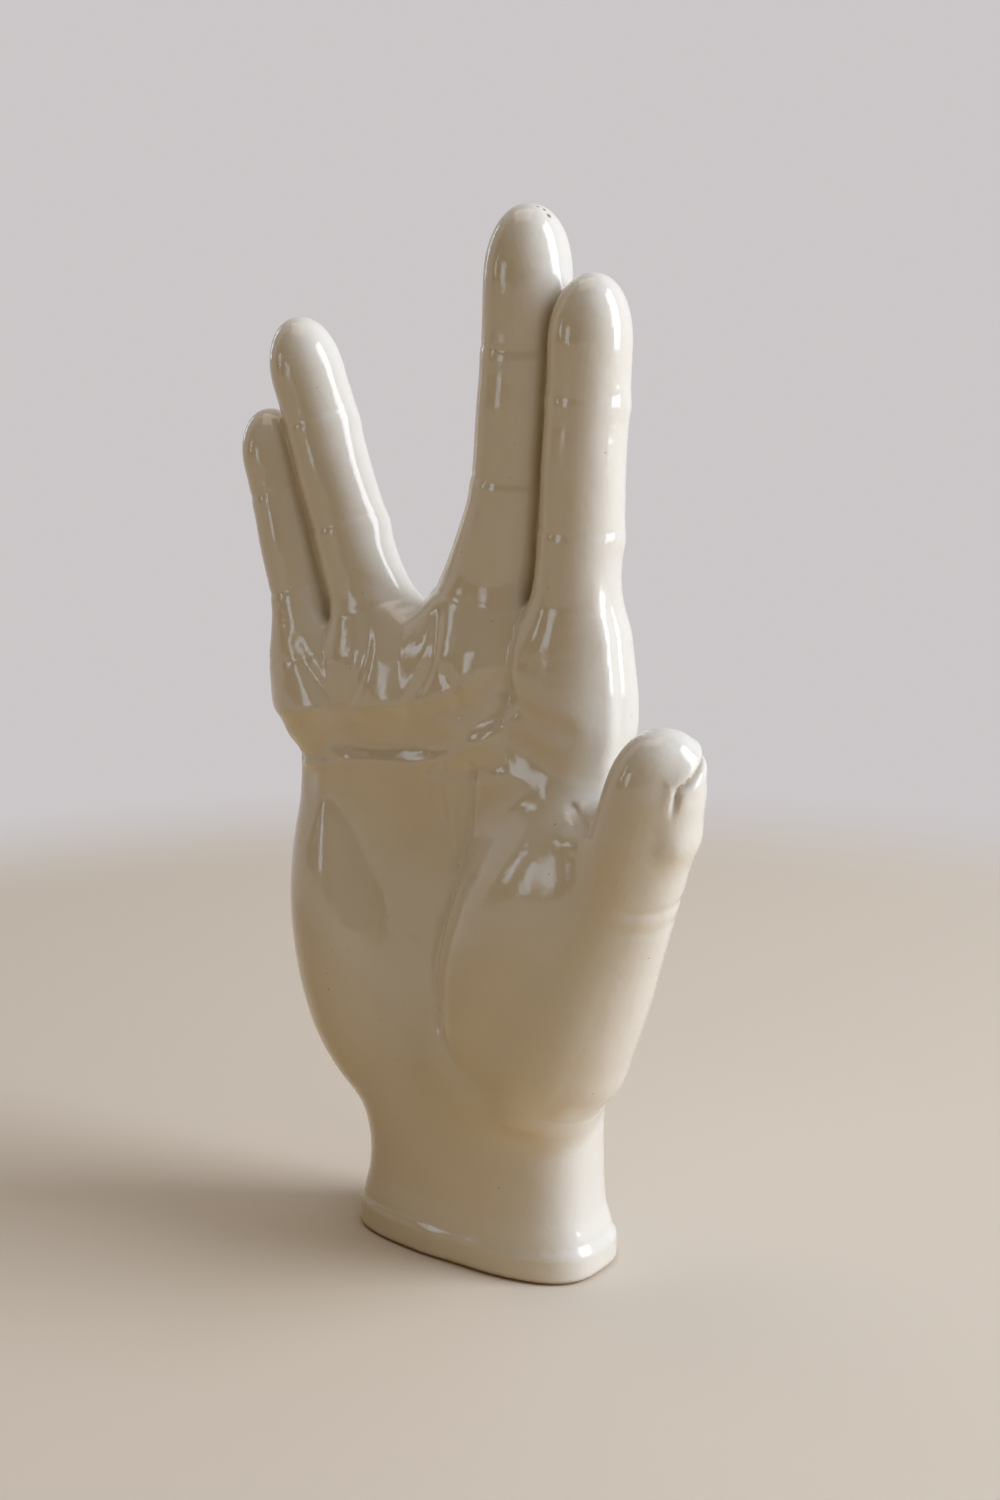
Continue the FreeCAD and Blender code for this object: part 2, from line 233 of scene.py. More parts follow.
def thenar_crease(x, z):
    """The line around the thumb's mound, and the fold in the web beside the thumb."""
    depth = 0.75 * stroke(x, z, thenar_line, width=1.5) * ease(46, 60, z)
    depth += 0.9 * stroke(x, z, thenar_line, width=4.5)
    depth -= 0.7 * bump(x, z, centre=(35, 108.8), size=(5.0, 3.0))
    return depth + 0.45 * stroke(x, z, web_fold, width=0.75)


# The four knuckles, index finger first, each with its size, and the point low on the wrist that
# the tendons fan out from.
knuckles = [((26, 149), 8.0), ((4.5, 152), 8.5), ((-31, 146), 8.0), ((-48, 136), 7.0)]
wrist_fan = (-6.0, 34.0)


def back_height(x, z):
    """How far the back of the hand rises over its plain shape."""
    rise = 1.4 * bump(x, z, centre=(-25, 31), size=(7, 8))
    rise -= 0.8 * bump(x, z, centre=(6, 66), size=(16, 24))
    for (cx, cz), size in knuckles:
        rise += 1.7 * bump(x, z, (cx, cz), (size * 0.8, size * 0.9))
        tendon = rounded([(cx, cz), (0.6 * cx - 1, 0.66 * cz), wrist_fan])
        rise += 0.5 * stroke(x, z, tendon, width=3.8) * ease(52, 100, z)
    for (a, _), (b, _) in zip(knuckles[:-1], knuckles[1:]):
        gap = ((a[0] + b[0]) / 2, (a[1] + b[1]) / 2 - 4)
        rise -= 1.2 * bump(x, z, gap, size=(4.0, 13.0))
    return rise


class Relief:
    """Heights over the hand's front or back, worked out once on a grid and then read anywhere."""

    low, high, step = (-76.0, -4.0), (76.0, 250.0), 0.5

    def __init__(self, height):
        x, z = (np.arange(a, b, self.step) for a, b in zip(self.low, self.high))
        across, along = np.meshgrid(x, z, indexing="ij")
        self.heights = height(across, along)

    def at(self, x, z):
        u = np.clip((x - self.low[0]) / self.step, 0, self.heights.shape[0] - 1.01)
        v = np.clip((z - self.low[1]) / self.step, 0, self.heights.shape[1] - 1.01)
        i, j = u.astype(int), v.astype(int)
        u, v, h = u - i, v - j, self.heights
        below = h[i, j] * (1 - u) + h[i + 1, j] * u
        above = h[i, j + 1] * (1 - u) + h[i + 1, j + 1] * u
        return below * (1 - v) + above * v


front_relief = Relief(front_height)
thenar_relief = Relief(thenar_crease)
back_relief = Relief(back_height)


def palm_field(p):
    """The palm and wrist before the fingers grow from it, less than 0 inside."""
    x, y, z = p.T
    tilt = palm_tilt * ease(tilt_from, tilt_to, z)
    level = z - (x - tilt_middle) * tilt
    left, right, front, back = (np.interp(level, palm_fine, c) for c in palm_columns)
    middle, half = (left + right) / 2, (right - left) / 2
    wider, deeper, trim = foot_swell(x, y, z)
    half = half + wider - trim
    depth = np.where(y < 0, front, back) + deeper - trim
    squareness = 3.1 - 0.3 * ease(8, 20, z) - 0.4 * ease(20, 60, z)
    cap = np.clip(level - palm_top, 0, None) / palm_top_rounding
    near = np.abs((x - middle) / half) ** squareness + np.abs(y / depth) ** squareness
    near = near + cap**palm_top_dome
    field = (near ** (1 / squareness) - 1) * np.minimum(half, depth)
    return field - ease(-1.0, -8.0, y) * front_relief.at(x, z)


def mound(p, centre, axes, sizes):
    """An egg-shaped mound of muscle, as a distance from its surface."""
    q = (p - np.array(centre)) @ np.array(axes).T
    near = np.sqrt(((q / sizes) ** 2).sum(1))
    slope = np.sqrt(((q / np.square(sizes)) ** 2).sum(1)) + 1e-9
    return near * (near - 1) / slope


thenar_centre, thenar_sizes = (19.5, -8.5, 74.0), (23.5, 15.5, 42.0)
thenar_axes = [(0.914, 0.0, -0.405), (0.03, 1.0, 0.07), (0.405, -0.08, 0.911)]
heel_centre, heel_sizes = (-36.5, -3.5, 68.5), (13.0, 12.6, 33.0)
heel_axes = [(0.98, 0.12, 0.16), (-0.12, 0.99, 0.0), (-0.16, 0.0, 0.98)]


# The fingers and the thumb. Each was modelled as a round taper with a soft pad between its
# creases, a swell at each joint and a nail on its back, then cast hollow and luted to the palm.
def within(p, low, high, field, far=40.0):
    """A shape's field where p is in its box, and far away from it elsewhere."""
    values = np.full(len(p), far)
    near = ((p > low) & (p < high)).all(1)
    if near.any():
        values[near] = field(p[near])
    return values


def ridge(distance, width):
    """1 where distance is 0, fading out on both sides over about twice the width."""
    return np.exp(-((distance / width) ** 2))


class Digit:
    """One finger or thumb: where it runs, its girth along the way, its joints and its nail.

    A joint is its share of the length, its crease and its swell. The nail plate is its side,
    its free edge, that edge's slope and its root, all but the slope in widths of the digit.
    """

    roundness = 2.15
    tip_in_widths = 0.86
    sunk_length = 6.0
    crease_width, swell_width, fold_width = 0.85, 2.9, 0.85
    knuckle_folds = ((-2.4, 0.09), (0.0, 0.14), (2.2, 0.08))
    last_pad_end = 1.02

    def __init__(self, root, tip, width, depth, rows, joints, bow=0.0, outward=(0, 1, 0),
                 plate=(0.32, 0.785, 1.33, 0.98), dome=2.15):
        self.root, self.tip = np.array(root, float), np.array(tip, float)
        self.length = np.linalg.norm(self.tip - self.root)
        self.axis = (self.tip - self.root) / self.length
        outward = np.array(outward, float)
        outward -= self.axis * (outward @ self.axis)
        self.outward = outward / np.linalg.norm(outward)
        self.across = np.cross(self.outward, self.axis)
        self.width, self.bow, self.joints = width, bow, joints
        self.plate, self.dome = plate, dome
        self.cap = self.tip_in_widths * width
        self.straight = self.length - self.cap
        halves = np.array([width / 2, width / 2, depth / 2, depth / 2])
        values = [halves * np.array(row[1:]) for row in rows]
        self.fine, self.columns = softened([r[0] * self.straight for r in rows], values, spread=2.4)
        foot = self.root + self.axis * (self.fine[0] - self.sunk_length)
        reach = 1.35 * width + 8  # a box with room around the digit
        self.low = np.minimum(foot, self.tip) - reach
        self.high = np.maximum(foot, self.tip) + reach

    def place(self, p):
        """Places along, across and out from the digit's own axis."""
        d = p - self.root
        along = d @ self.axis
        share = np.clip(along / self.length, 0, 1)
        d = d - np.array([1.0, 0, 0]) * (4 * self.bow * share * (1 - share))[:, None]
        return along, d @ self.across, d @ self.outward

    def field(self, p):
        return within(p, self.low, self.high, self.skin)

    def skin(self, p):
        """Distance from the digit's skin, less than 0 inside."""
        along, a, b = self.place(p)
        left, right, front, back = (np.interp(along, self.fine, c) for c in self.columns)
        w, d = np.where(a < 0, left, right), np.where(b < 0, front, back)
        cap = np.clip(along - self.straight, 0, None) / self.cap
        sunk = np.clip(self.fine[0] - along, 0, None) / self.sunk_length
        near = np.abs(a / w) ** self.roundness + np.abs(b / d) ** self.roundness
        near = near + cap**self.dome + sunk**2
        field = (near ** (1 / self.roundness) - 1) * np.minimum(w, d)
        return field + self.relief(along, a, b, w, d)

    def relief(self, along, a, b, w, d):
        """The pads, creases, knuckle folds and nail: more than 0 is pressed in."""
        lateral = a / w
        on_front, on_back = ease(0.25, -0.55, b / d), ease(-0.15, 0.6, b / d)
        relief = np.zeros(len(along))
        for place, crease, swell in self.joints:
            past_joint = along - place * self.length
            curved = past_joint - 0.8 * lateral**2
            relief += 0.45 * crease * on_front * ridge(curved, self.crease_width)
            swelling = ridge(past_joint + 1.4, self.swell_width)
            relief -= 0.85 * swell * (1 - 0.5 * on_front) * swelling
            for offset, deep in self.knuckle_folds:
                fold = past_joint - offset * (1 - 0.35 * lateral**2)
                relief += deep * on_back * ridge(fold, self.fold_width) * (1 - lateral**2).clip(0)
        ends = [joint[0] for joint in self.joints] + [self.last_pad_end]
        for low, high in zip(ends[:-1], ends[1:]):
            t = np.clip((along / self.length - low) / (high - low), 0, 1)
            relief -= 0.35 * on_front * np.sin(np.pi * t) ** 2

        inside, distal = self.on_plate(along, b)
        groove_width = 0.06 * self.width
        plate = ease(0.0, 0.09 * self.width, inside)
        lip = ridge(distal - groove_width, groove_width) * plate
        relief += 0.40 * ridge(inside, groove_width) - 0.10 * plate - 0.16 * lip
        return relief

    def on_plate(self, along, b):
        """How far inside the nail's outline each place is, and how far from its free edge."""
        side, edge, slope, root = self.plate
        distal = (self.length - edge * self.width + slope * b - along) / math.hypot(1, slope)
        lateral, proximal = b - side * self.width, along - self.length + root * self.width
        inside = np.minimum(np.minimum(lateral, distal), proximal)
        return inside, distal


class Thumb(Digit):
    """The thumb is seen from its side: its nail is sunk deep behind the bulging pulp."""

    def relief(self, along, a, b, w, d):
        inside, _ = self.on_plate(along, b)
        near_cuticle = ease(self.length - 0.32 * self.width, self.length - 0.68 * self.width, along)
        beside_nail = 1 - near_cuticle
        slot_depth = 1.3 - 0.7 * ease(4.5, 9.0, b)
        relief = slot_depth * ridge(inside, 0.58) * beside_nail
        relief -= 0.25 * ridge(inside - 2.0, 1.3) * beside_nail
        relief -= 0.35 * ridge(inside + 1.7, 1.2) * beside_nail
        cuticle = along - self.length + 0.92 * self.width
        relief -= 1.0 * ease(-2.5, 5.0, b) * ridge(cuticle, 4.2)
        crease = along - 0.615 * self.length - 0.24 * b
        on_side = ease(-7.0, -1.0, b)
        relief += 0.28 * on_side * ridge(crease, 1.4)
        relief += 0.15 * on_side * ridge(crease + 5.0, 1.6)
        return relief


# Share of the way to the round tip, then the girth to the left, right, front and back, each as a
# share of the digit's own. The middle and ring fingers widen to each other at their roots.
finger_rows = [
    (-0.34, 1.00, 1.00, 0.96, 0.96),
    (0.00, 1.05, 1.05, 1.00, 1.04),
    (0.18, 1.00, 1.00, 0.99, 0.99),
    (0.38, 1.01, 1.01, 0.98, 1.02),
    (0.58, 0.97, 0.97, 0.97, 0.96),
    (0.84, 0.98, 0.98, 0.96, 0.96),
    (1.00, 0.95, 0.98, 0.97, 0.98),
    (1.50, 0.95, 0.98, 0.97, 0.98),
]
middle_rows = [
    (-0.34, 1.20, 1.00, 0.96, 0.96),
    (0.00, 2.05, 1.03, 0.96, 0.96),
    (0.11, 1.62, 1.01, 0.97, 0.97),
    (0.22, 1.30, 1.00, 0.98, 0.99),
    (0.36, 1.04, 1.01, 0.98, 1.02),
    (0.58, 0.97, 0.98, 0.97, 0.96),
    (0.84, 0.98, 0.99, 0.96, 0.96),
    (1.00, 0.95, 0.99, 0.97, 1.00),
    (1.50, 0.95, 0.99, 0.97, 1.00),
]
ring_rows = [
    (-0.34, 1.00, 1.10, 0.96, 0.96),
    (0.00, 1.05, 1.55, 0.97, 1.00),
    (0.10, 1.01, 1.24, 0.98, 0.99),
    (0.22, 1.00, 1.06, 0.99, 0.99),
    (0.38, 1.01, 1.03, 0.98, 1.02),
    (0.58, 0.97, 0.98, 0.97, 0.96),
    (0.84, 0.98, 0.98, 0.96, 0.96),
    (1.00, 0.95, 0.98, 0.97, 0.98),
    (1.50, 0.95, 0.98, 0.97, 0.98),
]
thumb_rows = [
    (0.00, 0.70, 0.70, 0.70, 0.70),
    (0.12, 1.22, 1.22, 1.15, 1.26),
    (0.28, 1.29, 1.29, 1.24, 1.30),
    (0.41, 1.20, 1.19, 1.18, 1.21),
    (0.55, 1.09, 1.09, 1.12, 1.09),
    (0.68, 1.02, 1.02, 1.14, 1.02),
    (0.82, 0.98, 0.98, 1.16, 0.97),
    (0.92, 0.95, 0.95, 1.18, 0.91),
    (1.00, 0.90, 0.90, 1.16, 0.86),
    (1.50, 0.90, 0.90, 1.16, 0.86),
]
digits = {
    "index": Digit(
        root=(26.0, -2.5, 152), tip=(29.6, -2.5, 226), width=18.0, depth=17.6, rows=finger_rows,
        joints=[(0.05, 0.12, 0.0), (0.27, 0.30, 0.5), (0.655, 0.26, 0.45)],
    ),
    "middle": Digit(
        root=(5.2, 0, 152), tip=(12.0, 0, 240), width=19.2, depth=18.8, rows=middle_rows,
        joints=[(0.03, 0.4, 0.0), (0.335, 0.5, 0.45), (0.655, 0.42, 0.4)], bow=1.0,
    ),
    "ring": Digit(
        root=(-31.6, 0, 147.5), tip=(-53.9, 0, 214.6), width=17.0, depth=17.2, rows=ring_rows,
        joints=[(0.02, 0.4, 0.0), (0.31, 0.5, 0.5), (0.655, 0.45, 0.45)],
    ),
    "little": Digit(
        root=(-47.7, -2.0, 138), tip=(-63.0, 0, 193.4), width=15.0, depth=15.4, rows=finger_rows,
        joints=[(-0.03, 0.45, 0.0), (0.25, 0.45, 0.4), (0.65, 0.4, 0.35)],
    ),
    "thumb": Thumb(
        root=(20.0, -9.0, 46), tip=(58.8, -14.0, 133.8), width=22.0, depth=21.5, rows=thumb_rows,
        joints=[], bow=3.8, outward=(0.819, 0.574, 0), plate=(0.045, 0.41, 0.97, 0.76), dome=2.5,
    ),
}


# The hand put together: the castings are luted while the clay is soft and the joints are sponged
# smooth, so that one skin runs over them all. Fingers that touch stick along a narrow strip.
heel_fillet, thenar_fillet, digit_fillet = 6.5, 7.5, 7.0
wider_fillet = 4.0
touch_fillet, stick_fillet = 0.9, 3.1
stick_depth, stick_half_width = -1.0, 2.9


def melt(a, b, reach):
    """Joins two shapes' fields as wet clay joins, with a fillet about as wide as reach."""
    h = np.clip(0.5 + 0.5 * (b - a) / reach, 0, 1)
    return b + (a - b) * h - reach * h * (1 - h)


def hand_field(p):
    """The whole hand, less than 0 inside: everything in one skin, trimmed flat below."""
    x, y, z = p.T
    wider_low_down = wider_fillet * ease(62, 44, z)
    wider_in_front = wider_fillet * ease(-4.0, -9.0, y)
    heel = mound(p, heel_centre, heel_axes, heel_sizes)
    thenar = mound(p, thenar_centre, thenar_axes, thenar_sizes)
    field = melt(palm_field(p), heel, heel_fillet)
    field = melt(field, thenar, thenar_fillet + wider_low_down)
    in_strip = np.exp(-(((y - stick_depth) / stick_half_width) ** 4))
    sticking = touch_fillet + stick_fillet * in_strip
    right_pair = melt(digits["index"].field(p), digits["middle"].field(p), sticking)
    left_pair = melt(digits["ring"].field(p), digits["little"].field(p), sticking)
    field = melt(field, np.minimum(right_pair, left_pair), digit_fillet + wider_in_front)
    field = melt(field, digits["thumb"].field(p), digit_fillet + wider_low_down)
    field += ease(-3.0, -9.0, y) * thenar_relief.at(x, z)
    field -= ease(2.0, 8.5, y) * back_relief.at(x, z)
    return np.maximum(np.maximum(field, -z), -seat_field(x, y, z))


def doubled(values):
    """The same grid with a point put halfway between each two."""
    for axis in range(3):
        values = np.moveaxis(values, axis, 0)
        finer = np.empty((2 * len(values) - 1,) + values.shape[1:])
        finer[::2] = values
        finer[1::2] = (values[:-1] + values[1:]) / 2
        values = np.moveaxis(finer, 0, axis)
    return values


def evaluated(field, low, step, indices, batch=200000):
    """The field at the grid's points, a batch at a time to spare memory."""
    points = low + indices * step
    values = np.empty(len(points))
    for start in range(0, len(points), batch):
        values[start:start + batch] = field(points[start:start + batch])
    return values


def skin_of(field, low, high, step, band=1.05):
    """The skin where field is 0, as points and four-sided faces.

    A coarse grid is made finer twice, each time only in a band of so many steps by the skin. Then
    each cell that the skin crosses gets one point, and four such points make a face.
    """
    coarse = 4 * step
    low = np.array(low, float)
    size = np.ceil((np.array(high) - low) / coarse).astype(int) + 1
    indices = np.argwhere(np.ones(size, bool))
    values = evaluated(field, low, coarse, indices).reshape(size)
    while coarse > step * 1.01:
        values = doubled(values)
        indices = np.argwhere(np.abs(values) < band * coarse)
        coarse /= 2
        values[tuple(indices.T)] = evaluated(field, low, coarse, indices)
    inside = values < 0
    corners = [(i, j, k) for i in (0, 1) for j in (0, 1) for k in (0, 1)]
    cells = tuple(n - 1 for n in inside.shape)
    count = sum(inside[i:i + cells[0], j:j + cells[1], k:k + cells[2]].astype(np.int8)
                for i, j, k in corners)
    crossed = (count > 0) & (count < 8)
    number = np.full(cells, -1)
    at = np.argwhere(crossed)
    number[crossed] = np.arange(len(at))
    total, share = np.zeros((len(at), 3)), np.zeros(len(at))
    for a in corners:
        for axis in range(3):
            if a[axis]:
                continue
            b = list(a)
            b[axis] = 1
            va = values[tuple((at + a).T)]
            vb = values[tuple((at + b).T)]
            cut = (va < 0) != (vb < 0)
            t = np.where(cut, va / np.where(cut, va - vb, 1), 0)
            spot = np.array(a, float) + t[:, None] * (np.array(b) - a)
            total[cut] += spot[cut]
            share[cut] += 1
    vertices = low + (at + total / share[:, None]) * step
    faces = []
    for axis in range(3):
        one = np.moveaxis(inside, axis, 0)
        changes = np.argwhere(np.moveaxis(one[:-1] != one[1:], 0, axis))
        u, v = (axis + 1) % 3, (axis + 2) % 3
        changes = changes[(changes[:, u] > 0) & (changes[:, v] > 0)]
        changes = changes[(changes[:, u] < cells[u]) & (changes[:, v] < cells[v])]
        ring = []
        for du, dv in ((0, 0), (-1, 0), (-1, -1), (0, -1)):
            cell = changes.copy()
            cell[:, u] += du
            cell[:, v] += dv
            ring.append(number[tuple(cell.T)])
        ring = np.stack(ring, 1)
        outward = inside[tuple(changes.T)]
        ring[~outward] = ring[~outward][:, ::-1]
        faces.append(ring)
    return vertices, np.concatenate(faces)


def settled(field, vertices, nudge=0.12):
    """The points moved straight onto the skin."""
    value = field(vertices)
    slope = np.stack([field(vertices + nudge * axis) - value for axis in np.eye(3)], 1) / nudge
    slope /= np.clip((slope**2).sum(1), 0.09, None)[:, None]
    vertices = vertices - value[:, None] * slope
    return vertices - field(vertices)[:, None] * slope


grain = 0.6
around_low, around_high = (-72, -30, -2.3), (72, 22, 244)
skin_points, skin_faces = skin_of(hand_field, around_low, around_high, grain)
skin_points = settled(hand_field, skin_points)
skin_faces = np.concatenate([skin_faces[:, [0, 1, 2]], skin_faces[:, [0, 2, 3]]])

# The skin is cut where the real castings meet: across each digit at its slip joint, above the
# foot band, and down the narrow partings between fingers that touch. Each piece is then closed
# over its cuts, and keeps the whole hand's shading so that a glazed joint shows no line.
finger_joint_rise = 5.0
thumb_joint_share = 0.65
thumb = digits["thumb"]
joints = {name: (d.root + d.axis * finger_joint_rise, d.axis) for name, d in digits.items()}
joints["thumb"] = (thumb.root + thumb.axis * thumb_joint_share * thumb.length, thumb.axis)


def upright(low, high):
    """An upright plane through two points of a parting, facing right."""
    rise = np.array([high[0] - low[0], 0, high[1] - low[1]])
    across = np.cross([0.0, 1.0, 0.0], rise)
    return np.array([low[0], 0.0, low[1]]), across / np.linalg.norm(across)


# The parting beside each of these digits, by two of its points across and up.
partings = {
    "middle": upright((16.6, 155.0), (20.6, 225.0)),
    "little": upright((-40.6, 146.0), (-55.0, 190.0)),
    "thumb": upright((36.0, 106.0), (40.5, 128.0)),
}
foot_top = (np.array([0, 0, foot_height]), np.array([0.0, 0.0, 1.0]))
cut_planes = [*joints.values(), *partings.values(), foot_top]


def side(p, plane):
    """How far each place is in front of a plane."""
    return (p - plane[0]) @ plane[1]


def cut(points, faces, plane, on_it=1e-4):
    """The same skin with its triangles split where they cross a plane."""
    depth = side(points, plane)
    depth[np.abs(depth) < on_it] = on_it
    front = depth > 0
    crossing = front[faces].any(1) & ~front[faces].all(1)
    whole, split = faces[~crossing], faces[crossing]
    alone = front[split].sum(1) == 1
    lone = np.where(alone[:, None], front[split], ~front[split]).argmax(1)
    row = np.arange(len(split))
    a, b, c = (split[row, (lone + turn) % 3] for turn in range(3))
    edges = np.concatenate([np.stack([a, b], 1), np.stack([a, c], 1)])
    edges.sort(axis=1)
    edges, which = np.unique(edges, axis=0, return_inverse=True)
    which = which.reshape(-1)
    share = depth[edges[:, 0]] / (depth[edges[:, 0]] - depth[edges[:, 1]])
    added = points[edges[:, 0]] + share[:, None] * (points[edges[:, 1]] - points[edges[:, 0]])
    ab, ac = which[: len(split)] + len(points), which[len(split):] + len(points)
    parts = [whole, np.stack([a, ab, ac], 1), np.stack([ab, b, c], 1), np.stack([ab, c, ac], 1)]
    return np.concatenate([points, added]), np.concatenate(parts)


for plane in cut_planes:
    skin_points, skin_faces = cut(skin_points, skin_faces, plane)

corners = skin_points[skin_faces]
face_normals = np.cross(corners[:, 1] - corners[:, 0], corners[:, 2] - corners[:, 0])
skin_normals = np.zeros_like(skin_points)
for corner in range(3):
    np.add.at(skin_normals, skin_faces[:, corner], face_normals)
skin_normals /= np.linalg.norm(skin_normals, axis=1)[:, None] + 1e-12

centres = corners.mean(1)
centre_x, centre_y, centre_z = centres.T
pair_gap, fingers_bottom, thumb_top = -18.0, 130.0, 140.0
past = {name: side(centres, plane) > 0 for name, plane in joints.items()}
right = {name: side(centres, plane) > 0 for name, plane in partings.items()}
by_thumb_tip = right["thumb"] & (centre_y < -4) & (centre_x > 40)
fingers = (centre_z > fingers_bottom) & ~by_thumb_tip
right_pair = centre_x > pair_gap
piece_faces = {
    "thumb": past["thumb"] & right["thumb"] & (centre_z < thumb_top),
    "index_finger": fingers & right_pair & right["middle"] & past["index"],
    "middle_finger": fingers & right_pair & ~right["middle"] & past["middle"],
    "ring_finger": fingers & ~right_pair & right["little"] & past["ring"],
    "little_finger": fingers & ~right_pair & ~right["little"] & past["little"],
    "foot_ring": side(centres, foot_top) < 0,
}
piece_faces["palm"] = ~np.any(list(piece_faces.values()), axis=0)


def rims(faces):
    """The closed loops of edges where a piece was cut."""
    pairs = np.concatenate([faces[:, [0, 1]], faces[:, [1, 2]], faces[:, [2, 0]]])
    key = pairs[:, 0].astype(np.int64) << 32 | pairs[:, 1]
    back = pairs[:, 1].astype(np.int64) << 32 | pairs[:, 0]
    following = {int(a): int(b) for a, b in pairs[~np.isin(back, key)]}
    loops = []
    while following:
        loop = [next(iter(following))]
        while loop[-1] in following:
            loop.append(following.pop(loop[-1]))
        loops.append(loop[:-1])
    return [loop for loop in loops if len(loop) > 2]


def flat_caps(loop):
    """The flat outlines that close one rim: a rim that turns a corner has one on each cut plane."""
    starts, ends = np.array(loop), np.roll(loop, -1)
    off = []
    for plane in cut_planes:
        start_off, end_off = (np.abs(side(skin_points[k], plane)) for k in (starts, ends))
        off.append(np.maximum(start_off, end_off))
    plane_of = np.argmin(off, axis=0)
    for plane in np.unique(plane_of):
        here = plane_of == plane
        leaves = here & ~np.roll(here, -1)
        outline = []
        for start, end, stays, last in zip(starts, ends, here, leaves):
            if stays:
                outline.append(start)
            if last:
                outline.append(end)
        if len(outline) > 2:
            yield outline


# The skin is in millimetres, and the frame and its meshes are in metres.
mm = 0.001


def closed_piece(name, chosen):
    """One cut piece as an object, capped over its cuts, in metres."""
    faces = skin_faces[chosen]
    used = np.unique(faces)
    renumber = np.full(len(skin_points), -1)
    renumber[used] = np.arange(len(used))
    points, normals, triangles = [skin_points[used]], [skin_normals[used]], [renumber[faces]]
    first = len(used)
    for outline in (cap for loop in rims(faces) for cap in flat_caps(loop)):
        rim = skin_points[outline]
        spokes = rim - rim.mean(0)
        facing = np.cross(np.roll(spokes, -1, 0), spokes).sum(0)
        facing /= np.linalg.norm(facing) + 1e-12
        cap = np.array(tessellate_polygon([[Vector(place) for place in rim]]))
        turned = np.cross(rim[cap[:, 1]] - rim[cap[:, 0]], rim[cap[:, 2]] - rim[cap[:, 0]]) @ facing < 0
        cap[turned] = cap[turned][:, ::-1]
        points.append(rim)
        normals.append(np.tile(facing, (len(rim), 1)))
        triangles.append(cap + first)
        first += len(rim)
    points, normals = np.concatenate(points), np.concatenate(normals)
    triangles = np.concatenate(triangles)
    mesh = bpy.data.meshes.new(name)
    mesh.from_pydata((points * mm).tolist(), [], triangles.tolist())
    mesh.shade_smooth()
    mesh.normals_split_custom_set_from_vertices(normals.tolist())
    piece = bpy.data.objects.new(name, mesh)
    bpy.context.scene.collection.objects.link(piece)
    return piece


pieces = {name: closed_piece(name, chosen) for name, chosen in piece_faces.items()}

# White porcelain glaze over every casting, fired together: a little warmer where it runs thin,
# brown with painted shade in its creases and clefts, with odd pinholes and specks, and wiped off
# the very rim.
thin_glaze, thick_glaze = (0.785, 0.76, 0.715, 1), (0.825, 0.81, 0.78, 1)
iron_speck = (0.66, 0.56, 0.44, 1)
crease_shade_brown = (0.50, 0.39, 0.25, 1)
pinhole_brown = (0.20, 0.17, 0.13, 1)
bare_rim = (0.42, 0.29, 0.17, 1)
white = (1, 1, 1, 1)
# How far the painted crease shade looks for cover, in millimetres.
crease_shade_reach = 3.5
bare_up_to, glazed_from = 0.45, 0.8
pinhole_core = 0.4
# Three pinholes near the middle fingertip: centre and radius.
pinholes = [((17.0, -0.7, 237.3), 0.75), ((15.8, -0.5, 238.6), 0.55), ((14.6, -1.2, 239.2), 0.4)]
glaze = bpy.data.materials.new("porcelain_glaze")
glaze.use_nodes = True
# The helpers below add to the material that nodes, links, shader and place belong to.
nodes, links = glaze.node_tree.nodes, glaze.node_tree.links
shader = nodes["Principled BSDF"]
place = nodes.new("ShaderNodeTexCoord")


def noise(scale, detail):
    """Cloudy values fixed to the object; a larger scale is finer."""
    node = nodes.new("ShaderNodeTexNoise")
    node.inputs["Scale"].default_value = scale
    node.inputs["Detail"].default_value = detail
    links.new(place.outputs["Object"], node.inputs["Vector"])
    return node.outputs["Fac"]


def ramp(source, stops):
    """Colours that change with a value, from stops of a value and its colour."""
    node = nodes.new("ShaderNodeValToRGB")
    node.color_ramp.elements[0].position, node.color_ramp.elements[0].color = stops[0]
    node.color_ramp.elements[1].position, node.color_ramp.elements[1].color = stops[-1]
    for position, colour in stops[1:-1]:
        node.color_ramp.elements.new(position).color = colour
    links.new(source, node.inputs["Fac"])
    return node.outputs["Color"]


def grey(value):
    return (value, value, value, 1)


def blend(share, a, b, kind="RGBA", how="MIX"):
    """A mix of a and b. Each of the three is a plain value or another node's output."""
    node = nodes.new("ShaderNodeMix")
    node.data_type = kind
    node.blend_type = how
    for name, value in (("Factor", share), ("A", a), ("B", b)):
        if isinstance(value, bpy.types.NodeSocket):
            links.new(value, node.inputs[name])
        else:
            node.inputs[name].default_value = value
    return node.outputs["Result"]


def measure(operation, vector, other=(0, 0, 0)):
    """A vector's LENGTH, its DISTANCE from other, or its DOT_PRODUCT with it, as one number."""
    node = nodes.new("ShaderNodeVectorMath")
    node.operation = operation
    node.inputs[1].default_value = other
    links.new(vector, node.inputs[0])
    return node.outputs["Value"]


def between(value, low, high, how="LINEAR"):
    """0 where a value is low or less, 1 where it is high or more."""
    node = nodes.new("ShaderNodeMapRange")
    node.interpolation_type = how
    node.inputs["From Min"].default_value = low
    node.inputs["From Max"].default_value = high
    links.new(value, node.inputs["Value"])
    return node.outputs["Result"]


def bumps(height, strength, distance):
    """A height worked into the shader's normal."""
    node = nodes.new("ShaderNodeBump")
    node.inputs["Strength"].default_value = strength
    node.inputs["Distance"].default_value = distance
    links.new(height, node.inputs["Height"])
    links.new(node.outputs["Normal"], shader.inputs["Normal"])


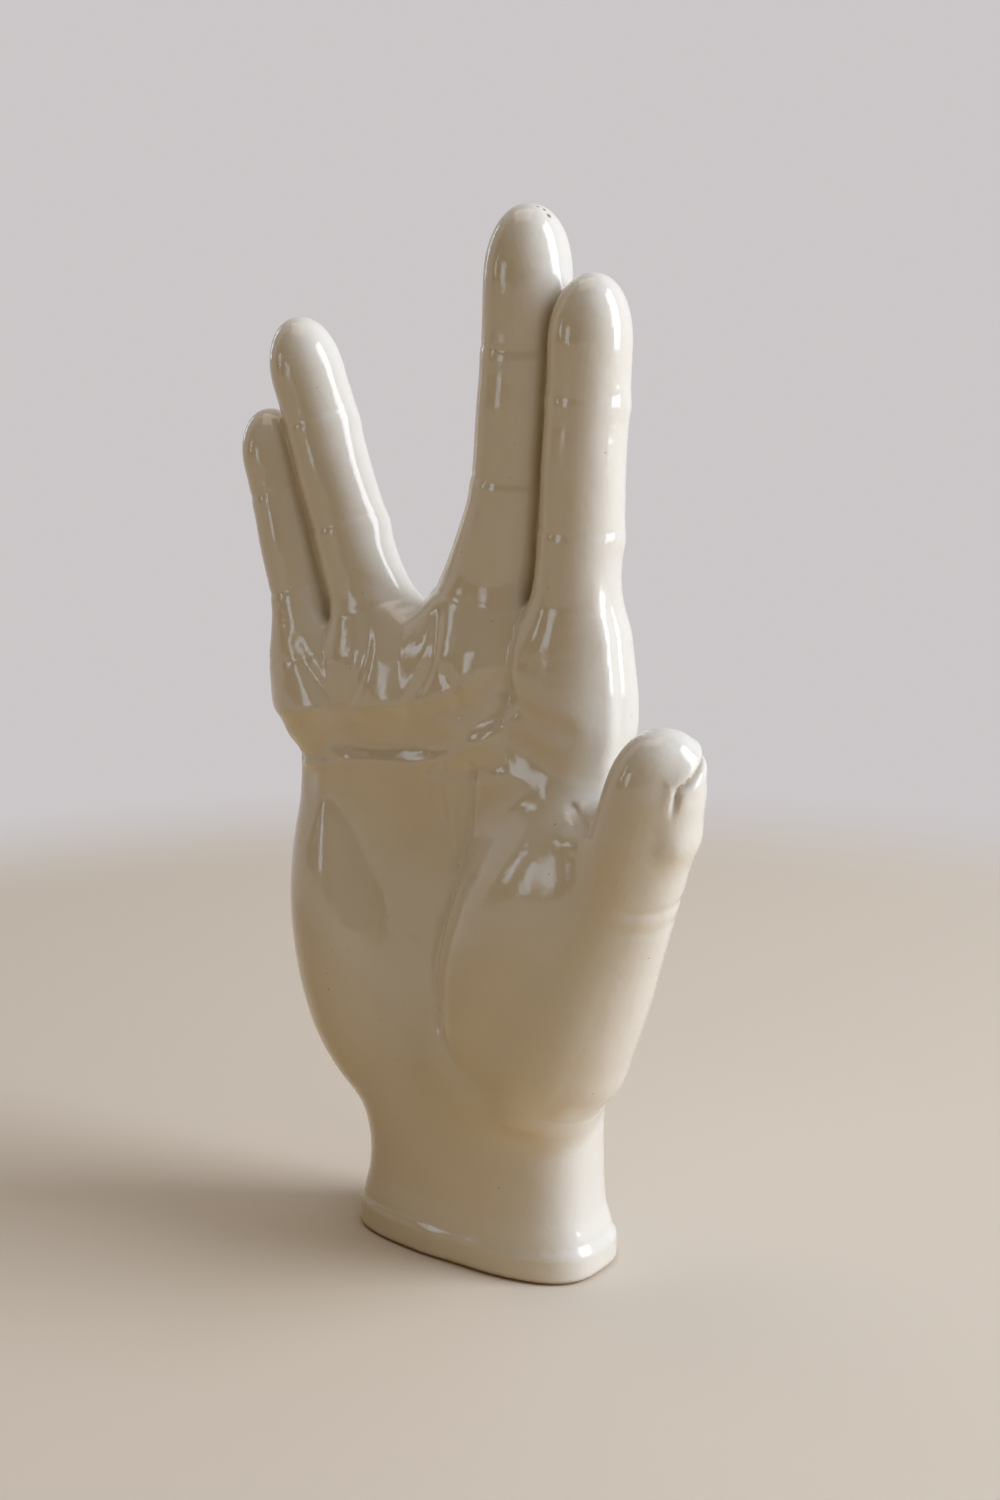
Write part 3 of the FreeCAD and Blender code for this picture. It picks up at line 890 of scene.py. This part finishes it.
tone = ramp(noise(scale=28, detail=3), [(0.30, thin_glaze), (0.72, thick_glaze)])
specks = ramp(noise(scale=900, detail=1), [(0.78, white), (0.84, iron_speck)])
# Painted shade: the glaze colour is darkened to brown where the hand hides itself from the light, in
# creases and between the fingers.
occlusion = nodes.new("ShaderNodeAmbientOcclusion")
occlusion.samples = 6
occlusion.inputs["Distance"].default_value = crease_shade_reach * mm
painted_crease_shade = ramp(occlusion.outputs["AO"], [(0.20, crease_shade_brown), (0.78, white)])
colour = blend(1.0, painted_crease_shade, blend(1.0, tone, specks, how="MULTIPLY"), how="MULTIPLY")
for centre, radius in pinholes:
    away = measure("DISTANCE", place.outputs["Object"], [mm * value for value in centre])
    outside = between(away, pinhole_core * radius * mm, radius * mm)
    colour = blend(outside, pinhole_brown, colour)
height = nodes.new("ShaderNodeSeparateXYZ")
links.new(place.outputs["Object"], height.inputs["Vector"])
above_rim = between(height.outputs["Z"], bare_up_to * mm, glazed_from * mm)
colour = blend(above_rim, bare_rim, colour)
links.new(colour, shader.inputs["Base Color"])
gloss = ramp(noise(scale=60, detail=2), [(0.25, grey(0.09)), (0.75, grey(0.16))])
links.new(gloss, shader.inputs["Roughness"])
broad_waves, fine_waves = noise(scale=75, detail=2), noise(scale=240, detail=2)
bumps(blend(0.35, broad_waves, fine_waves, kind="FLOAT"), strength=0.30, distance=0.0012)
shader.inputs["IOR"].default_value = 1.5
shader.inputs["Coat Weight"].default_value = 0.35
shader.inputs["Coat Roughness"].default_value = 0.06

# The palm also stands for the seven layers of luting slip, which are out of sight in the joints.
carried = {
    "palm": ["palm_casting", "slip_joints"],
    "thumb": ["thumb_casting"],
    "index_finger": ["index_finger_casting"],
    "middle_finger": ["middle_finger_casting"],
    "ring_finger": ["ring_finger_casting"],
    "little_finger": ["little_finger_casting"],
    "foot_ring": ["foot_ring"],
}
for name, piece in pieces.items():
    piece.data.materials.append(glaze)
    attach(piece, "root")
    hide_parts(*carried[name])

# The base slab: a flat slab of the same clay that closes the hollow from below, let into the
# foot ring and bedded in slip. It stands on the kiln shelf, so it is left bare, matt and sandy.
pale_clay, dark_clay = (0.68, 0.60, 0.48, 1), (0.58, 0.49, 0.38, 1)
bare = bpy.data.materials.new("bare_clay")
bare.use_nodes = True
nodes, links = bare.node_tree.nodes, bare.node_tree.links
shader = nodes["Principled BSDF"]
place = nodes.new("ShaderNodeTexCoord")
clay = ramp(noise(scale=160, detail=4), [(0.3, dark_clay), (0.7, pale_clay)])
links.new(clay, shader.inputs["Base Color"])
sandy = ramp(noise(scale=90, detail=2), [(0.3, grey(0.75)), (0.7, grey(0.9))])
links.new(sandy, shader.inputs["Roughness"])
bumps(noise(scale=1500, detail=2), strength=0.4, distance=0.0004)
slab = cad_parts["base_slab"]
for index in range(len(slab.material_slots)):
    slab.material_slots[index].material = bare

# The stage: a pale wood-toned table top that melts, well behind the hand, into a lavender-grey
# backdrop. The camera and the glaze see the boards pale, and the light that they throw back on
# the hand is warmer.
backdrop = (0.60, 0.57, 0.575, 1)
boards_seen = (0.78, 0.70, 0.61, 1)
boards_warmth = (0.66, 0.46, 0.215, 1)
boards_end, backdrop_start = 0.31, 0.44
floor_mesh = bpy.data.meshes.new("floor")
floor_mesh.from_pydata([(-6, -6, 0), (6, -6, 0), (6, 6, 0), (-6, 6, 0)], [], [(0, 1, 2, 3)])
floor = bpy.data.objects.new("floor", floor_mesh)
bpy.context.scene.collection.objects.link(floor)
paint = bpy.data.materials.new("floor_paint")
paint.use_nodes = True
floor_mesh.materials.append(paint)
nodes, links = paint.node_tree.nodes, paint.node_tree.links
shader = nodes["Principled BSDF"]
shader.inputs["Roughness"].default_value = 0.75
place = nodes.new("ShaderNodeTexCoord")
rays = nodes.new("ShaderNodeLightPath")


def calculated(operation, a, b):
    node = nodes.new("ShaderNodeMath")
    node.operation = operation
    links.new(a, node.inputs[0])
    links.new(b, node.inputs[1])
    return node.outputs["Value"]


def chosen_between(share, first, second):
    """A shader that is first where share is 0 and second where it is 1."""
    node = nodes.new("ShaderNodeMixShader")
    links.new(share, node.inputs["Fac"])
    links.new(first, node.inputs[1])
    links.new(second, node.inputs[2])
    return node.outputs["Shader"]


looked_at = calculated("MAXIMUM", rays.outputs["Is Camera Ray"], rays.outputs["Is Glossy Ray"])
links.new(blend(looked_at, boards_warmth, boards_seen), shader.inputs["Base Color"])
from_hand = measure("LENGTH", place.outputs["Object"])
far_off = between(from_hand, boards_end, backdrop_start, how="SMOOTHSTEP")
beyond = nodes.new("ShaderNodeEmission")
beyond.inputs["Color"].default_value = backdrop
melted = chosen_between(
    calculated("MULTIPLY", far_off, looked_at), shader.outputs["BSDF"], beyond.outputs["Emission"]
)
links.new(melted, nodes["Material Output"].inputs["Surface"])

# The room around the hand: warm and dim, and brighter and cooler towards the window. The camera
# sees the backdrop's colour in its place, and so does the glaze where it faces the backdrop.
warm_corner, warm_wall = (0.15, 0.10, 0.038, 1), (0.195, 0.140, 0.060, 1)
window_wall = (0.63, 0.65, 0.71, 1)
to_window, to_backdrop = (0.70, 0.42, 0.57), (-0.574, 0.819, 0)
backdrop_edge, backdrop_full = 0.16, 0.24
world = bpy.data.worlds.new("studio")
bpy.context.scene.world = world
world.use_nodes = True
nodes, links = world.node_tree.nodes, world.node_tree.links
place = nodes.new("ShaderNodeTexCoord")
rays = nodes.new("ShaderNodeLightPath")
facing_window = between(measure("DOT_PRODUCT", place.outputs["Generated"], to_window), -1, 1)
room = nodes["Background"]
room_colours = ramp(facing_window, [(0.15, warm_corner), (0.55, warm_wall), (0.95, window_wall)])
links.new(room_colours, room.inputs["Color"])
room.inputs["Strength"].default_value = 0.72
seen = nodes.new("ShaderNodeBackground")
seen.inputs["Color"].default_value = backdrop
seen.inputs["Strength"].default_value = 1.0
along_backdrop = measure("DOT_PRODUCT", place.outputs["Generated"], to_backdrop)
facing_backdrop = between(along_backdrop, backdrop_edge, backdrop_full)
mirrored = calculated("MULTIPLY", facing_backdrop, rays.outputs["Is Glossy Ray"])
looked_at = calculated("MAXIMUM", mirrored, rays.outputs["Is Camera Ray"])
around = chosen_between(looked_at, room.outputs["Background"], seen.outputs["Background"])
links.new(around, nodes["World Output"].inputs["Surface"])


# The lamps: a tall window to the right that lights the hand, and a warm ceiling over it.
def softbox(name, place, size, power, colour, aim=(0, 0, 0.13)):
    """A rectangular lamp of a width and height in metres and a power in watts, facing aim."""
    lamp = bpy.data.lights.new(name, "AREA")
    lamp.shape = "RECTANGLE"
    lamp.size, lamp.size_y = size
    lamp.energy = power
    lamp.color = colour
    holder = bpy.data.objects.new(name, lamp)
    holder.location = place
    holder.rotation_euler = (Vector(aim) - Vector(place)).to_track_quat("-Z", "Y").to_euler()
    bpy.context.scene.collection.objects.link(holder)
    return holder


daylight, lamplight, far_daylight = (0.865, 0.93, 1.0), (1.0, 0.85, 0.66), (0.66, 0.82, 1.0)
softbox("window", (1.17, 0.50, 0.72), size=(0.75, 1.6), power=21.5, colour=daylight)
softbox("ceiling", (-0.3, -0.1, 1.5), size=(0.9, 0.9), power=3.4, colour=lamplight)
# Three far windows that don't light the clay, but that its glaze mirrors.
for name, spot, size, power in (
    ("far_window", (-0.66, -1.02, 0.30), (0.20, 0.30), 0.55),
    ("left_window", (-1.0, -0.74, 0.40), (0.11, 0.32), 0.34),
    ("side_glint", (-1.1, 0.25, 0.45), (0.12, 0.5), 0.6),
):
    far_window = softbox(name, spot, size, power, far_daylight)
    far_window.visible_diffuse = False

bpy.context.scene.view_settings.view_transform = "Standard"
